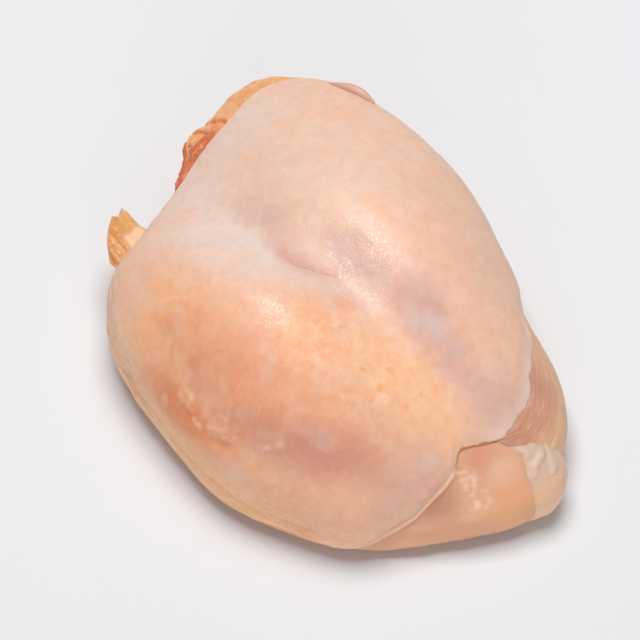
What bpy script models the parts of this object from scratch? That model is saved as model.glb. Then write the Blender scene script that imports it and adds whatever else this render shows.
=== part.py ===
"""A raw chicken breast, boned, with its skin on: both lobes in one piece, lying skin side up.

X runs along the breastbone line from the neck end (-X) to the tail end (+X), Y across it and Z up.
The lengths below are in millimetres. They become metres where a mesh is made, and the finished piece
is shifted so that the origin is on the table under the middle of it.
"""

import math

import bmesh
import bpy
from mathutils import Vector

MILLIMETRE = 0.001
MIDDLE = (-9.3, 1.0)  # the middle of the finished piece, seen from above

# ---- the body: two lobes of breast muscle under one skin ----

HEART = (-14.0, 0.0)  # the point that the body's outlines are measured round
# The body's widest line, seen from above: (x, y) at each landmark, counter-clockwise from the tail.
WIDEST_LINE = (
    (76, 5),  # end of the bare tail muscle
    (72, 19),
    (60, 32),
    (38, 42),
    (22, 51),
    (3, 60),  # far flank
    (-31, 70),
    (-58, 72),  # far shoulder
    (-80, 68.5),
    (-96.5, 54.5),
    (-100, 37),  # neck end
    (-94.5, 16),
    (-86, -5),
    (-81.5, -24),
    (-78, -42),  # near shoulder
    (-65, -55),
    (-44, -63),
    (-21, -68),
    (2, -70),  # near flank
    (18, -66),
    (32, -61),
    (45, -54),
    (55, -38),  # near hip
    (64, -20),
    (70, -8),
)
# Height of that line above the table, by the angle round the heart: 0 is the tail, 90 the far flank.
WIDEST_LINE_HEIGHT = (
    (0, 13),
    (45, 15),
    (90, 18),
    (120, 20),
    (145, 26),
    (180, 28),
    (225, 17),
    (270, 12),
    (315, 10),
)
# Height of the crests of both lobes along the breast: (x, z)
CREST_HEIGHT = ((-100, 43), (-60, 57.5), (-25, 64), (10, 60), (40, 50), (70, 35), (90, 26))
# The cleft between the lobes along the breast: its place across it, (x, y), and its depth, (x, depth)
CLEFT_LINE = ((-90, 2), (-55, -3), (-35, -7), (-15, -4), (10, -5), (40, -1), (70, 2))
CLEFT_DEPTH = ((-100, 2), (-60, 7), (-30, 9), (0, 9), (30, 6), (60, 2))
CLEFT_HALF_WIDTH_FAR = 15  # the far lobe drops into it a little more steeply
CLEFT_HALF_WIDTH_NEAR = 17
DOME_FULLNESS = 2.35  # 2 is an ellipse, more is squarer
# The hollow along the near flank, below which the skin flares out: its middle and half-widths, in
# degrees round the heart and in how far down, with 1 at the widest line.
FLANK_HOLLOW = (275, 38, 0.70, 0.13)
FLANK_HOLLOW_DEPTH = 2.5
UNDERSIDE_FULLNESS = 4.0
UNDERSIDE_SINK = 3  # how far the round underside would sink below the table, where it is pressed flat

# ---- the skin: a layer that ends on the muscle in a lip ----

SKIN_THICKNESS = 1.8
SKIN_TUCK = 2.0  # how deep the lip goes into the muscle
# How far down over the body the skin reaches, by the angle round the heart: 0 is the crown,
# 1 the widest line and 2 the middle of the underside.
SKIN_REACH = (
    (0, 0.625),
    (10, 0.60),
    (20, 0.61),
    (31, 0.68),
    (40, 0.765),
    (52, 0.93),
    (80, 1.12),
    (122, 1.08),
    (136, 0.92),
    (142, 0.79),  # the neck end, where the fat shows beyond it
    (150, 0.71),
    (160, 0.66),
    (170, 0.72),
    (184, 0.82),
    (194, 0.92),
    (215, 1.08),
    (300, 1.14),
    (320, 1.0),
    (331, 0.92),
    (336, 0.83),
    (340, 0.775),
    (344, 0.708),  # the corner of the lip over the flap
    (347, 0.635),
    (350, 0.62),
)
SKIN_LOWEST = 1.5  # gap between the skin and the table

# ---- the caps of flesh and fat that lie on the body beyond the skin ----

# Each spreads from its middle out to its half spans, in degrees round the heart and in how far down, and
# reaches a depth into the body. Its lift is how far its face stands out from the plain body.
TAIL_FLAP = {
    "middle": (343, 1.08),
    "half_span": (32, 0.62),
    "depth": 7,
    "start": -1.5,  # its lift under the skin's edge
    # its lift at the widest line, by the angle round the heart
    "bulge": (
        (311, -2.5),
        (320, -0.5),
        (328, 2.5),
        (337, 4.5),
        (344, 6.8),
        (351, 8.6),
        (357, 8.0),
        (361, 5.2),
        (365, 2.0),
        (369, -1.0),
        (373, -2.5),
    ),
    "tail_edge": ((0.55, -4), (0.65, -0.5), (0.72, 4.5), (0.95, 8), (1.2, 9)),  # (down, degrees)
}
FAT_TIP = {
    "middle": (361, 1.05),
    "half_span": (13, 0.55),
    "depth": 7,
    "proud": 0.5,  # how far it stands out from the flap
    "flap_edge": ((0.6, 2), (0.75, -1.5), (1.0, -5), (1.25, -6.5)),  # (down, degrees)
}
NECK_FAT = {
    "middle": (154, 0.95),
    "half_span": (22, 0.36),
    "depth": 6,
    "lift": -0.2,
    "lumps": ((150, 6, 1.5), (169, 4.5, 4.0)),  # (degrees, half width, height)
    "fades": (172, 177),
}
NECK_FLESH = {
    "middle": (176, 0.98),
    "half_span": (11, 0.3),
    "depth": 6,
    "lift": -0.3,
    "lumps": ((170, 4, 3.4),),
    "fades": (180, 186),
}
NECK_LUMP_DOWN = (0.95, 0.2)  # where the lumps at the neck lie: how far down, and the half width of that
CAP_SINK = 3  # how far a cap's face drops into the body past its own edge

# ---- the two loose scraps, each along a spine of (x, y, z) places ----

SHOULDER_TAB = {
    "spine": ((-74, -30, 25.5), (-87, -27, 26), (-95, -21, 26)),
    "half_widths": (9, 8.5, 4),
    "half_depths": (4, 2.5, 1.5),
}
FAR_FLAP = {
    "spine": ((-74, 61.5, 38), (-64, 62, 41), (-57, 63.5, 41)),
    "half_widths": (1.5, 2.2, 2.4),
    "half_depths": (1.5, 2.2, 2.4),
}

# ---- colour (linear red, green and blue) and roughness of each tissue ----

TISSUES = {
    "skin": ((0.78, 0.50, 0.33), 0.38),
    "muscle": ((0.66, 0.30, 0.21), 0.42),
    "fat": ((0.80, 0.52, 0.27), 0.40),
}

# ---- how finely the round shapes are cut: cuts of each edge of the cube that each is rounded from ----

SKIN_GRID = 42  # for the skin, faces along each side of its grid
MUSCLE_CUTS = 15
CAP_CUTS = {"tail_flap": 14, "fat_tip": 9, "neck_fat": 12, "neck_flesh": 7}
STRIP_CUTS = {"shoulder_tab": 6, "far_flap": 4}


def through(points, at, period=None):
    """The value at a position on the smooth curve through (position, value) points, closed over a period."""
    if period:
        first, last = points[0], points[-1]
        at = (at - first[0]) % period + first[0]
        second = points[1]
        points = (
            (last[0] - period, last[1]),
            *points,
            (first[0] + period, first[1]),
            (second[0] + period, second[1]),
        )
    else:
        at = min(max(at, points[0][0]), points[-1][0])
    place = max(i for i, point in enumerate(points[:-1]) if point[0] <= at)
    before = points[max(place - 1, 0)]
    start, end = points[place], points[place + 1]
    after = points[min(place + 2, len(points) - 1)]
    span = end[0] - start[0]
    slope_in = (end[1] - before[1]) / (end[0] - before[0]) * span
    slope_out = (after[1] - start[1]) / (after[0] - start[0]) * span
    t = (at - start[0]) / span
    return (
        start[1] * (2 * t**3 - 3 * t**2 + 1)
        + slope_in * (t**3 - 2 * t**2 + t)
        + end[1] * (3 * t**2 - 2 * t**3)
        + slope_out * (t**3 - t**2)
    )


def polar(outline, centre):
    """An outline's landmarks as (degrees, radius) round a centre, in order of angle."""
    found = []
    for x, y in outline:
        dx, dy = x - centre[0], y - centre[1]
        found.append((math.degrees(math.atan2(dy, dx)) % 360, math.hypot(dx, dy)))
    return tuple(sorted(found))


WIDEST_RADIUS = polar(WIDEST_LINE, HEART)


def bump(distance, half_width):
    """1 at no distance, falling smoothly to nearly 0 two half-widths away."""
    return math.exp(-((distance / half_width) ** 2))


def ramp(value, low, high):
    """0 below low and 1 above high, smooth between them; low may be the larger one."""
    t = min(max((value - low) / (high - low), 0), 1)
    return t * t * (3 - 2 * t)


def dome_height(x, y):
    """Height that the skin would have far from any edge."""
    from_cleft = y - through(CLEFT_LINE, x)
    half_width = CLEFT_HALF_WIDTH_FAR if from_cleft > 0 else CLEFT_HALF_WIDTH_NEAR
    return through(CREST_HEIGHT, x) - through(CLEFT_DEPTH, x) * bump(from_cleft, half_width)


def body_point(around, down, inset=0.0, lowest=0.0):
    """A place on the body, by degrees round the heart and by how far down.

    Down is 0 at the crown, 1 at the widest line and 2 in the middle of the underside.
    """
    around %= 360
    hollow = bump(around - FLANK_HOLLOW[0], FLANK_HOLLOW[1]) * bump(down - FLANK_HOLLOW[2], FLANK_HOLLOW[3])
    inset += FLANK_HOLLOW_DEPTH * hollow
    edge = through(WIDEST_RADIUS, around, 360) - inset
    side = through(WIDEST_LINE_HEIGHT, around, 360)
    slant = math.pi / 2 * (1 - down)
    fullness = DOME_FULLNESS if down < 1 else UNDERSIDE_FULLNESS
    share = max(math.cos(slant), 0) ** (2 / fullness)
    rise = abs(math.sin(slant)) ** (2 / fullness)
    x = HEART[0] + edge * share * math.cos(math.radians(around))
    y = HEART[1] + edge * share * math.sin(math.radians(around))
    goal = dome_height(x, y) - inset if down < 1 else -UNDERSIDE_SINK
    return Vector((x, y, max(side + (goal - side) * rise, lowest)))


def finish_of(tissue):
    """The Principled material of skin, muscle or fat."""
    made = bpy.data.materials.get(tissue)
    if made is None:
        colour, roughness = TISSUES[tissue]
        made = bpy.data.materials.new(tissue)
        made.use_nodes = True
        shader = made.node_tree.nodes["Principled BSDF"]
        shader.inputs["Base Color"].default_value = (*colour, 1.0)
        shader.inputs["Roughness"].default_value = roughness
        shader.inputs["Metallic"].default_value = 0.0
    return made


def finished(name, tissue, shape):
    """An object from a bmesh whose places are in millimetres."""
    bmesh.ops.scale(shape, vec=(MILLIMETRE, MILLIMETRE, MILLIMETRE), verts=shape.verts[:])
    mesh = bpy.data.meshes.new(name)
    shape.to_mesh(mesh)
    shape.free()
    mesh.materials.append(finish_of(tissue))
    made = bpy.data.objects.new(name, mesh)
    bpy.context.scene.collection.objects.link(made)
    return made


def round_ball(cuts):
    """A bmesh ball of radius 1, with the even grid of a cube blown up."""
    shape = bmesh.new()
    bmesh.ops.create_cube(shape, size=2.0)
    bmesh.ops.subdivide_edges(shape, edges=shape.edges[:], cuts=cuts, use_grid_fill=True)
    for vertex in shape.verts:
        vertex.co = Vector([math.tan(c * math.pi / 4) for c in vertex.co]).normalized()
    return shape


def muscle():
    """The two lobes of meat, pressed flat where they lie on the table."""
    shape = round_ball(MUSCLE_CUTS)
    for vertex in shape.verts:
        around = math.degrees(math.atan2(vertex.co.y, vertex.co.x))
        down = 1 - math.asin(max(-1, min(1, vertex.co.z))) / (math.pi / 2)
        vertex.co = body_point(around, down, inset=SKIN_THICKNESS)
    return finished("muscle", "muscle", shape)


def skin():
    """The skin from the crown to its edge, closed below by faces that run through the muscle."""
    shape = bmesh.new()
    bmesh.ops.create_grid(shape, x_segments=SKIN_GRID, y_segments=SKIN_GRID, size=1.0)
    for vertex in shape.verts:
        x, y = vertex.co.x, vertex.co.y
        across, along = y * math.sqrt(1 - x * x / 2), x * math.sqrt(1 - y * y / 2)
        around = math.degrees(math.atan2(across, along))
        down = math.hypot(across, along) * through(SKIN_REACH, around, 360)
        vertex.co = body_point(around, down, lowest=SKIN_LOWEST)
    edge = [e for e in shape.edges if e.is_boundary]
    lip = bmesh.ops.extrude_edge_only(shape, edges=edge)["geom"]
    for vertex in [v for v in lip if isinstance(v, bmesh.types.BMVert)]:
        inwards = Vector((HEART[0], HEART[1], 20)) - vertex.co
        vertex.co += inwards.normalized() * (SKIN_THICKNESS + SKIN_TUCK)
    bmesh.ops.holes_fill(shape, edges=[e for e in shape.edges if e.is_boundary], sides=0)
    bmesh.ops.triangulate(shape, faces=[f for f in shape.faces if len(f.verts) > 4])
    bmesh.ops.recalc_face_normals(shape, faces=shape.faces[:])
    return finished("skin", "skin", shape)


def cap(name, tissue, measures, lift):
    """A cap of flesh or fat on the body, whose outer face stands out from it by lift(around, down)."""
    shape = round_ball(CAP_CUTS[name])
    for vertex in shape.verts:
        spread = math.acos(min(abs(vertex.co.z), 1)) / (math.pi / 2)
        ring = math.hypot(vertex.co.x, vertex.co.y) or 1.0
        around = measures["middle"][0] + measures["half_span"][0] * spread * vertex.co.x / ring
        down = measures["middle"][1] + measures["half_span"][1] * spread * vertex.co.y / ring
        outer = ramp(vertex.co.z, -0.04, 0.04)
        inset = measures["depth"] * (1 - outer) - lift(around, down) * outer
        vertex.co = body_point(around, down, inset=inset)
    bmesh.ops.recalc_face_normals(shape, faces=shape.faces[:])
    return finished(name, tissue, shape)


def flap_lift(around, down):
    """The flap comes out from under the skin, bulges at the tail's corner and ends on the bare tail."""
    edge = through(SKIN_REACH, around, 360)
    rise = ramp(down, edge + 0.01, max(1.06, edge + 0.14))
    start = TAIL_FLAP["start"]
    lift = start + (through(TAIL_FLAP["bulge"], around) - start) * rise
    angle = (around + 180) % 360 - 180
    past_edge = angle - through(TAIL_FLAP["tail_edge"], down)
    return (lift + CAP_SINK) * ramp(past_edge, 1.0, -3.5) - CAP_SINK


def fat_tip_lift(around, down):
    """The fat lies over the flap's end, from a line on the flap onwards."""
    angle = (around + 180) % 360 - 180
    in_fat = ramp(angle - through(FAT_TIP["flap_edge"], down), -0.6, 2.5)
    return flap_lift(around - 1.6, down) + FAT_TIP["proud"] * in_fat - 1.2 * (1 - in_fat)


def neck_lift(measures):
    """The lumpy cut end of the fat, or of the flesh, between the skin's edge and the underside."""

    def lift(around, down):
        edge = through(SKIN_REACH, around, 360)
        found = measures["lift"] - 1.3 * ramp(down, edge + 0.07, edge + 0.02)
        lumps_here = bump(down - NECK_LUMP_DOWN[0], NECK_LUMP_DOWN[1])
        for middle, half_width, height in measures["lumps"]:
            found += height * bump(around - middle, half_width) * lumps_here
        return found - 4 * ramp(down, 1.08, 1.26) - CAP_SINK * ramp(around, *measures["fades"])

    return lift


def strip(name, tissue, measures, bluntness=2.4):
    """A strip of flesh or fat along its spine, rounded at both ends."""
    spine = measures["spine"]
    last = len(spine) - 1
    paths = [[(i / last, place[axis]) for i, place in enumerate(spine)] for axis in range(3)]
    widths = [(i / last, width) for i, width in enumerate(measures["half_widths"])]
    depths = [(i / last, depth) for i, depth in enumerate(measures["half_depths"])]
    shape = round_ball(STRIP_CUTS[name])
    for vertex in shape.verts:
        along = math.copysign(abs(vertex.co.x) ** (2 / bluntness), vertex.co.x)
        share = max(1 - vertex.co.x**2, 0) ** (1 / bluntness)
        t = (along + 1) / 2
        middle = Vector([through(path, t) for path in paths])
        ahead = Vector([through(path, min(t + 0.05, 1)) - through(path, max(t - 0.05, 0)) for path in paths])
        ahead.normalize()
        side = Vector((-ahead.y, ahead.x, 0)).normalized()
        over = ahead.cross(side)
        ring = math.hypot(vertex.co.y, vertex.co.z) or 1.0
        width = through(widths, t) * share * vertex.co.y / ring
        depth = through(depths, t) * share * vertex.co.z / ring
        vertex.co = middle + side * width + over * depth
    bmesh.ops.recalc_face_normals(shape, faces=shape.faces[:])
    return finished(name, tissue, shape)


def trimmings():
    """What shows beyond the skin, and the loose ends that the knife left."""
    return [
        cap("tail_flap", "muscle", TAIL_FLAP, flap_lift),
        cap("fat_tip", "fat", FAT_TIP, fat_tip_lift),
        cap("neck_fat", "fat", NECK_FAT, neck_lift(NECK_FAT)),
        cap("neck_flesh", "muscle", NECK_FLESH, neck_lift(NECK_FLESH)),
        strip("shoulder_tab", "fat", SHOULDER_TAB),
        strip("far_flap", "fat", FAR_FLAP),
    ]


def fused(name, pieces):
    """One solid from pieces that overlap, with the pieces themselves removed."""
    body, *others = pieces
    joined = bpy.data.collections.new("joined")
    for other in others:
        joined.objects.link(other)
    union = body.modifiers.new("union", "BOOLEAN")
    union.operation = "UNION"
    union.solver = "EXACT"
    union.operand_type = "COLLECTION"
    union.material_mode = "TRANSFER"
    union.collection = joined
    seen = body.evaluated_get(bpy.context.evaluated_depsgraph_get())
    mesh = bpy.data.meshes.new_from_object(seen)
    mesh.name = name
    mesh.shade_smooth()
    body.modifiers.clear()
    body.data = mesh
    body.name = name
    for other in others:
        bpy.data.objects.remove(other)
    bpy.data.collections.remove(joined)
    return body


def main():
    for old in list(bpy.data.objects):
        bpy.data.objects.remove(old)
    breast = fused("chicken_breast", [muscle(), skin(), *trimmings()])
    for vertex in breast.data.vertices:
        vertex.co.x -= MIDDLE[0] * MILLIMETRE
        vertex.co.y -= MIDDLE[1] * MILLIMETRE


main()
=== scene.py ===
import math
from bisect import bisect_right

import bmesh
import bpy
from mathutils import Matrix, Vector, noise


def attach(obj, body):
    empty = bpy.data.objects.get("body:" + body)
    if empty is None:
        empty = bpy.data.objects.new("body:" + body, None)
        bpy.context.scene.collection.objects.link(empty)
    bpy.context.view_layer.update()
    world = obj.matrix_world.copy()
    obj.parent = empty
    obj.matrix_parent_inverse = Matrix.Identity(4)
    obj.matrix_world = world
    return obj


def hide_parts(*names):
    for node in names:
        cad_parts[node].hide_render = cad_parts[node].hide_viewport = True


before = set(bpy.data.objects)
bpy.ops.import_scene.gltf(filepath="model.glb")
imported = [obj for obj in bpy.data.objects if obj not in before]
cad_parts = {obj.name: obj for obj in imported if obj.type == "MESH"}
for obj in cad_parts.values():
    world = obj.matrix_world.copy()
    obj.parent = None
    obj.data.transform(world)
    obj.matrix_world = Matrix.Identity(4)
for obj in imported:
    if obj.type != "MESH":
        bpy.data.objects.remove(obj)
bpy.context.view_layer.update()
print("the fixed frame is loaded")

millimetre = 0.001
middle = Vector((-9.3, 1.0, 0.0))  # middle of the finished piece, in the frame of the landmarks below

# the whole breast: the same landmarks as the solid has, in millimetres
body = {
    "heart": (-14.0, 0.0),  # the outlines are measured round this point
    "widestLine": (
        (76, 5),  # end of the bare tail muscle
        (72, 19),
        (60, 32),
        (38, 42),
        (22, 51),
        (3, 60),  # far flank
        (-31, 70),
        (-58, 72),  # far shoulder
        (-80, 68.5),
        (-96.5, 54.5),
        (-100, 37),  # neck end
        (-94.5, 16),
        (-86, -5),
        (-81.5, -24),
        (-78, -42),  # near shoulder
        (-65, -55),
        (-44, -63),
        (-21, -68),
        (2, -70),  # near flank
        (18, -66),
        (32, -61),
        (45, -54),
        (55, -38),  # near hip
        (64, -20),
        (70, -8),
    ),
    "widestHeight": (
        (0, 13),
        (45, 15),
        (90, 18),
        (120, 20),
        (145, 26),
        (180, 28),
        (225, 17),
        (270, 12),
        (315, 10),
    ),
    "crestHeight": ((-100, 43), (-60, 57.5), (-25, 64), (10, 60), (40, 50), (70, 35), (90, 26)),
    "cleftLine": ((-90, 2), (-55, -3), (-35, -7), (-15, -4), (10, -5), (40, -1), (70, 2)),
    "cleftDepth": ((-100, 2), (-60, 7), (-30, 9), (0, 9), (30, 6), (60, 2)),
    "cleftHalfWidthFar": 15,
    "cleftHalfWidthNear": 17,
    "domeFullness": 2.35,
    "flankHollow": {"around": 275, "aroundHalf": 38, "down": 0.70, "downHalf": 0.13, "depth": 2.5},
    "undersideFullness": 4.0,
    "undersideSink": 3,
    "skinThickness": 1.8,
}


def smoothCurve(points, period=None):
    # the smooth curve through (place, value) points, closed over a period
    spots = list(points)
    if period:
        spots = [(spots[-1][0] - period, spots[-1][1]), *spots]
        spots += [(spots[1][0] + period, spots[1][1]), (spots[2][0] + period, spots[2][1])]
    places = [spot[0] for spot in spots]

    def at(place):
        if period:
            place = (place - points[0][0]) % period + points[0][0]
        place = min(max(place, places[0]), places[-1])
        index = min(bisect_right(places, place) - 1, len(places) - 2)
        start, end = spots[index], spots[index + 1]
        before, after = spots[max(index - 1, 0)], spots[min(index + 2, len(spots) - 1)]
        span = end[0] - start[0]
        slopeIn = (end[1] - before[1]) / (end[0] - before[0]) * span
        slopeOut = (after[1] - start[1]) / (after[0] - start[0]) * span
        t = (place - start[0]) / span
        return (
            start[1] * (2 * t**3 - 3 * t**2 + 1)
            + slopeIn * (t**3 - 2 * t**2 + t)
            + end[1] * (3 * t**2 - 2 * t**3)
            + slopeOut * (t**3 - t**2)
        )

    return at


def roundHeart(x, y):
    # degrees and distance of a place, seen from above, round the heart of the breast
    dx, dy = x - body["heart"][0], y - body["heart"][1]
    return math.degrees(math.atan2(dy, dx)) % 360, math.hypot(dx, dy)


widestRadius = smoothCurve(sorted(roundHeart(x, y) for x, y in body["widestLine"]), 360)
widestHeight = smoothCurve(body["widestHeight"], 360)
crestHeight = smoothCurve(body["crestHeight"])
cleftLine = smoothCurve(body["cleftLine"])
cleftDepth = smoothCurve(body["cleftDepth"])


def hump(distance, halfWidth):
    # 1 at no distance, nearly 0 two half widths away
    return math.exp(-((distance / halfWidth) ** 2))


def ramp(value, low, high):
    # 0 below low, 1 above high, smooth between them; low may be the larger one
    t = min(max((value - low) / (high - low), 0), 1)
    return t * t * (3 - 2 * t)


def uneven(point, size, seed=0):
    # smooth noise from about -1 to 1, with lumps of a size in millimetres
    return 1.4 * noise.noise(point / size + Vector((seed * 7.3, seed * 3.1, -seed * 5.7)))


def domeHeight(x, y):
    fromCleft = y - cleftLine(x)
    halfWidth = body["cleftHalfWidthFar"] if fromCleft > 0 else body["cleftHalfWidthNear"]
    return crestHeight(x) - cleftDepth(x) * hump(fromCleft, halfWidth)


def bodyPoint(around, down, inset=0.0, lowest=0.0):
    # a place on the breast, by degrees round the heart and how far down it is:
    # 0 at the crown, 1 at the widest line and 2 under the middle
    around %= 360
    hollow = body["flankHollow"]
    sunk = hump(around - hollow["around"], hollow["aroundHalf"])
    sunk *= hump(down - hollow["down"], hollow["downHalf"])
    inset += hollow["depth"] * sunk
    edge = widestRadius(around) - inset
    side = widestHeight(around)
    slant = math.pi / 2 * (1 - down)
    fullness = body["domeFullness"] if down < 1 else body["undersideFullness"]
    share = max(math.cos(slant), 0) ** (2 / fullness)
    rise = abs(math.sin(slant)) ** (2 / fullness)
    x = body["heart"][0] + edge * share * math.cos(math.radians(around))
    y = body["heart"][1] + edge * share * math.sin(math.radians(around))
    goal = domeHeight(x, y) - inset if down < 1 else -body["undersideSink"]
    return Vector((x, y, max(side + (goal - side) * rise, lowest)))


def nearPath(x, y, path):
    # distance from a path of (x, y) places, plus on its left, and how far along it that is, from 0 to 1
    best = (1e9, 0.0)
    last = len(path) - 1
    for i in range(last):
        (ax, ay), (bx, by) = path[i], path[i + 1]
        dx, dy = bx - ax, by - ay
        t = ((x - ax) * dx + (y - ay) * dy) / (dx * dx + dy * dy)
        t = min(max(t, 0), 1)
        ox, oy = x - ax - t * dx, y - ay - t * dy
        distance = math.hypot(ox, oy)
        if distance < abs(best[0]):
            left = dx * oy - dy * ox >= 0
            best = (distance if left else -distance, (i + t) / last)
    return best


def roundBall(cuts):
    # a ball of radius 1 with the even grid of a blown-up cube
    shape = bmesh.new()
    bmesh.ops.create_cube(shape, size=2.0)
    bmesh.ops.subdivide_edges(shape, edges=shape.edges[:], cuts=cuts, use_grid_fill=True)
    for vertex in shape.verts:
        vertex.co = Vector([math.tan(c * math.pi / 4) for c in vertex.co]).normalized()
    return shape


def finishedPiece(name, shape, material, paint):
    # turns a bmesh in millimetres into a painted piece of the breast, in metres and in the frame
    tone = shape.verts.layers.float_color.new("tone")
    for vertex in shape.verts:
        vertex[tone] = (*paint(vertex), 1.0)
    bmesh.ops.translate(shape, vec=-middle, verts=shape.verts[:])
    bmesh.ops.scale(shape, vec=(millimetre, millimetre, millimetre), verts=shape.verts[:])
    mesh = bpy.data.meshes.new(name)
    shape.to_mesh(mesh)
    shape.free()
    mesh.shade_smooth()
    mesh.materials.append(material)
    piece = bpy.data.objects.new(name, mesh)
    bpy.context.scene.collection.objects.link(piece)
    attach(piece, "root")
    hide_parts("chicken_breast")
    print(name, "has", sum(len(polygon.vertices) - 2 for polygon in mesh.polygons), "triangles")
    return piece


class Wire:
    # the output of one node, so that shader maths reads as plain expressions
    def __init__(self, finish, socket):
        self.finish = finish
        self.socket = socket

    def maths(self, operation, first, second=None):
        sockets = {0: first} if second is None else {0: first, 1: second}
        return self.finish.node("Math", {"operation": operation}, sockets)

    def __add__(self, other):
        return self.maths("ADD", self, other)

    def __radd__(self, other):
        return self.maths("ADD", other, self)

    def __sub__(self, other):
        return self.maths("SUBTRACT", self, other)

    def __rsub__(self, other):
        return self.maths("SUBTRACT", other, self)

    def __mul__(self, other):
        return self.maths("MULTIPLY", self, other)

    def __rmul__(self, other):
        return self.maths("MULTIPLY", other, self)


class Finish:
    # a Principled material and the nodes that feed it
    def __init__(self, name):
        self.material = bpy.data.materials.new(name)
        self.material.use_nodes = True
        self.nodes = self.material.node_tree.nodes
        self.links = self.material.node_tree.links
        self.shader = self.nodes["Principled BSDF"]
        coordinates = self.node("TexCoord", output="Object")
        toMillimetres = {"Vector": coordinates, "Location": middle, "Scale": (1000, 1000, 1000)}
        self.place = self.node("Mapping", sockets=toMillimetres)

    def node(self, kind, settings=None, sockets=None, output=0):
        made = self.nodes.new("ShaderNode" + kind)
        for setting, value in (settings or {}).items():
            setattr(made, setting, value)
        for socket, value in (sockets or {}).items():
            self.feed(made.inputs[socket], value)
        return Wire(self, made.outputs[output])

    def feed(self, socket, value):
        if isinstance(value, Wire):
            self.links.new(value.socket, socket)
        else:
            socket.default_value = value

    def tone(self):
        return self.node("Attribute", {"attribute_name": "tone"}, output="Color")

    def grain(self, along, across):
        # the piece's own grain, in millimetres, squeezed so that its noise makes fibres
        squeezed = {"Vector": self.node("Attribute", {"attribute_name": "grain"}, output="Vector")}
        squeezed["Scale"] = (1 / along, 1 / across, 0)
        return self.node("Mapping", sockets=squeezed)

    def speckle(self, size, detail=2.0, roughness=0.5, vector=None, distortion=0.0):
        # noise from 0 to 1 with lumps of a size in millimetres
        sockets = {"Vector": vector or self.place, "Scale": 1 / size, "Detail": detail}
        sockets.update({"Roughness": roughness, "Distortion": distortion})
        return self.node("TexNoise", sockets=sockets)

    def between(self, value, low, high, toLow=0.0, toHigh=1.0):
        sockets = {0: value, 1: low, 2: high, 3: toLow, 4: toHigh}
        return self.node("MapRange", {"interpolation_type": "SMOOTHSTEP"}, sockets)

    def mix(self, under, over, factor, blend="MIX"):
        sockets = {0: factor, 6: under, 7: over}
        return self.node("Mix", {"data_type": "RGBA", "blend_type": blend}, sockets, output=2)

    def bump(self, height, distance, strength=1.0, under=None):
        sockets = {"Height": height, "Distance": distance, "Strength": strength}
        if under:
            sockets["Normal"] = under
        return self.node("Bump", sockets=sockets)

    def set(self, **values):
        for name, value in values.items():
            self.feed(self.shader.inputs[name.replace("_", " ")], value)


print("camera")
cameraView = {
    "azimuth": 43,  # degrees round from the -Y side, towards +X
    "elevation": 55,
    "distance": 1.0,
    "lens": 165.4,
    "target": (-0.0195, 0.0071, -0.002),
}


def directionAt(azimuth, elevation):
    a, e = math.radians(azimuth), math.radians(elevation)
    return Vector((math.sin(a) * math.cos(e), -math.cos(a) * math.cos(e), math.sin(e)))


def makeCamera():
    camera = bpy.data.objects.new("camera", bpy.data.cameras.new("camera"))
    backwards = directionAt(cameraView["azimuth"], cameraView["elevation"])
    camera.location = Vector(cameraView["target"]) + backwards * cameraView["distance"]
    camera.rotation_euler = (-backwards).to_track_quat("-Z", "Y").to_euler()
    camera.data.lens = cameraView["lens"]
    camera.data.sensor_width = 36
    camera.data.clip_start = 0.01
    bpy.context.scene.collection.objects.link(camera)
    bpy.context.scene.camera = camera


makeCamera()

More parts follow.
